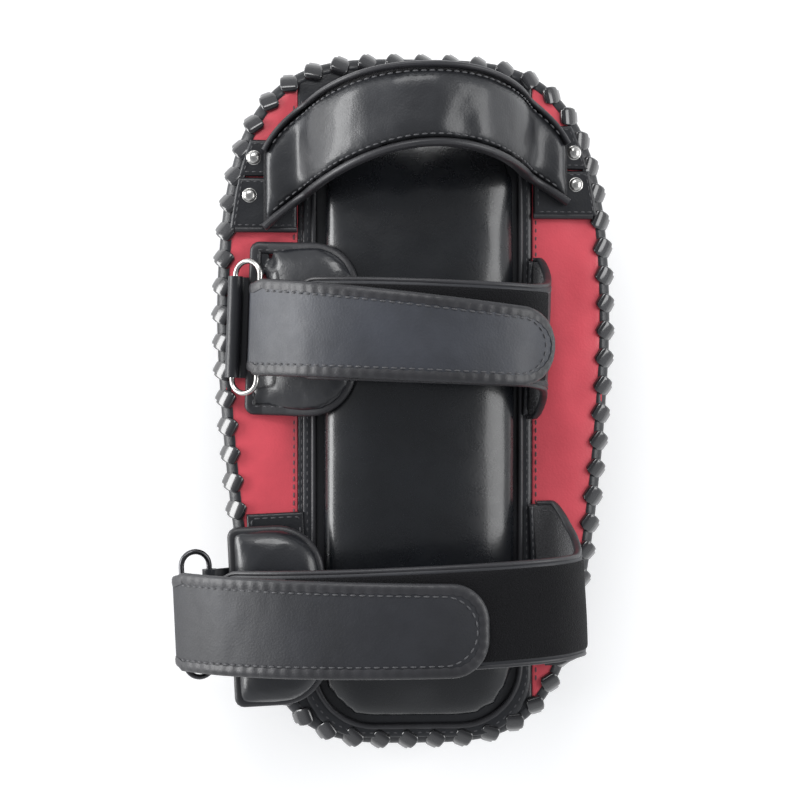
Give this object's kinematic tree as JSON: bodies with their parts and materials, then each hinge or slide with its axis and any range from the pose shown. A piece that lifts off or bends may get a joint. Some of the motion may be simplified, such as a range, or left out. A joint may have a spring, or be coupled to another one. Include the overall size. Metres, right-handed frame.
{
  "type": "muay thai kick pad",
  "caption": "Laced leather kick pad with a padded forearm cushion, arched grip handle and two hook-and-loop forearm straps on rings.",
  "frame": {"origin": "centre of the flat striking face, which the pad lies on", "axes": "+Z from the striking face to the strap side, +Y along the pad to the grip end, +X to the side where the straps are sewn down"},
  "size_m": [0.2509, 0.3942, 0.1717],
  "materials": {
    "leather_black": "satin",
    "leather_red": "satin",
    "leather_gloss": "gloss",
    "leather_strap": "satin",
    "leather_trim": "satin",
    "lace_leather": "gloss",
    "lining_cloth": "matte",
    "loop_pile": "matte",
    "hook_plastic": "matte",
    "foam_soft": "matte",
    "foam_firm": "matte",
    "board": "matte",
    "nickel": "polished"
  },
  "bodies": {
    "pad": {"strike_face_centre": "leather_black", "strike_face_left": "leather_red", "strike_face_right": "leather_red", "side_wall": "leather_black", "foam_strike_layer": "foam_soft", "foam_middle_layer": "foam_firm", "backing_board": "board", "back_panel_centre": "leather_black", "back_panel_left": "leather_red", "back_panel_right": "leather_red", "edge_binding": "leather_black", "perimeter_lace": "lace_leather", "forearm_cushion_cover": "leather_gloss", "forearm_cushion_foam": "foam_soft", "forearm_cushion_piping": "leather_trim", "handle_outer": "leather_gloss", "handle_foam": "foam_firm", "handle_lining": "lining_cloth", "handle_top_binding": "leather_trim", "handle_grip_piping": "leather_trim", "handle_tab_left": "leather_black", "handle_tab_right": "leather_black", "tab_rivets": "nickel", "tab_rivet_washers": "nickel", "upper_anchor_loop": "leather_black", "upper_guard_cover": "leather_gloss", "upper_guard_foam": "foam_soft", "upper_guard_binding": "leather_trim", "upper_strap_outer": "leather_strap", "upper_strap_lining": "lining_cloth", "upper_strap_root": "leather_black", "upper_loop_patch": "loop_pile", "lower_anchor_band": "leather_black", "lower_guard_cover": "leather_gloss", "lower_guard_foam": "foam_soft", "lower_guard_binding": "leather_trim", "lower_strap_outer": "leather_strap", "lower_strap_lining": "lining_cloth", "lower_strap_root": "leather_black", "lower_loop_patch": "loop_pile"},
    "upper_ring": {"upper_ring": "nickel"},
    "upper_strap_end": {"upper_tongue": "leather_strap", "upper_tongue_binding": "leather_trim", "upper_hook_patch": "hook_plastic"},
    "lower_ring": {"lower_ring": "nickel"},
    "lower_strap_end": {"lower_tongue": "leather_strap", "lower_tongue_binding": "leather_trim", "lower_hook_patch": "hook_plastic"}
  },
  "joints": [
    {"name": "upper_ring_swing", "type": "hinge", "parent": "pad", "child": "upper_ring", "pos_m": [-0.10153, 0.04104, 0.09762], "axis": [-0.0349, -0.9994, 0], "range_deg": [0, 20]},
    {"name": "upper_strap_end_peel", "type": "hinge", "parent": "upper_ring", "child": "upper_strap_end", "pos_m": [-0.08811, 0.04058, 0.10537], "axis": [-0.0349, -0.9994, 0], "range_deg": [0, 120]},
    {"name": "lower_ring_swing", "type": "hinge", "parent": "pad", "child": "lower_ring", "pos_m": [-0.11372, -0.12006, 0.09964], "axis": [0.0471, -0.9989, 0], "range_deg": [0, 15]},
    {"name": "lower_strap_end_peel", "type": "hinge", "parent": "lower_ring", "child": "lower_strap_end", "pos_m": [-0.12886, -0.12078, 0.10286], "axis": [0.0471, -0.9989, 0], "range_deg": [0, 135]}
  ]
}
